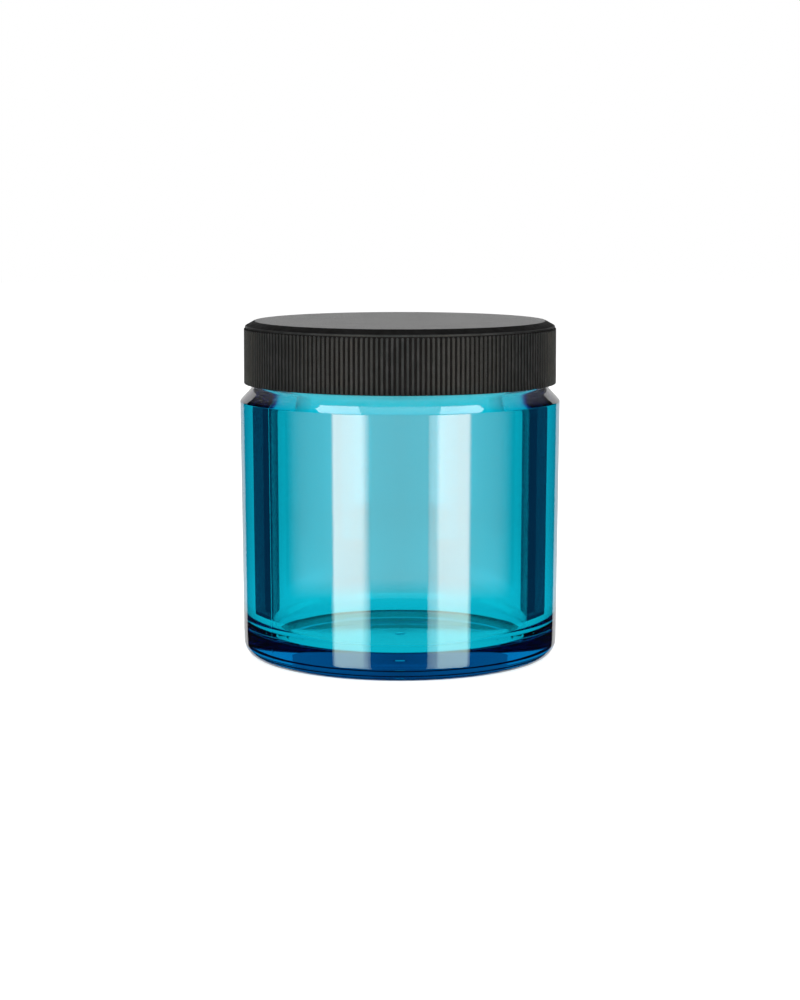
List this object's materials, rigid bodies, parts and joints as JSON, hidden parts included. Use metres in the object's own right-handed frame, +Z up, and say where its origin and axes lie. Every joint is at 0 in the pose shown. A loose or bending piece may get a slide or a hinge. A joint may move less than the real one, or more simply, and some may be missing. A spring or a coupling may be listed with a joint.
{
  "type": "wide-mouth screw-top jar",
  "caption": "Straight-sided heavy-walled clear blue screw-top storage jar with a shoulder cone and a ribbed black screw cap holding a foam sealing liner.",
  "frame": {"origin": "centre of the circular foot ring, on the surface the jar stands on", "axes": "+Z up along the jar's axis through the mouth; +X and +Y are equivalent on the body, and the neck thread starts on the +X side"},
  "size_m": [0.095, 0.095, 0.1],
  "materials": {
    "blue_pet": "clear, polished, tinted blue",
    "black_pp": "fine matte grain on the top disc, satin skirt and bevel",
    "foam_liner": "smooth film faced foam"
  },
  "bodies": {
    "jar": {"jar": "blue_pet"},
    "liner": {"liner": "foam_liner"},
    "cap": {"cap": "black_pp"}
  },
  "joints": [
    {"name": "cap_rise", "type": "slide", "parent": "jar", "child": "liner", "axis": [0, 0, 1], "range_m": [0, 0.00664]},
    {"name": "cap_turn", "type": "hinge", "parent": "liner", "child": "cap", "pos_m": [0, 0, 0.09], "axis": [0, 0, 1], "range_deg": [0, 470]}
  ],
  "couplings": [
    {"joint": "cap_rise", "follows": "cap_turn", "m_per_rad": 0.00080851}
  ]
}
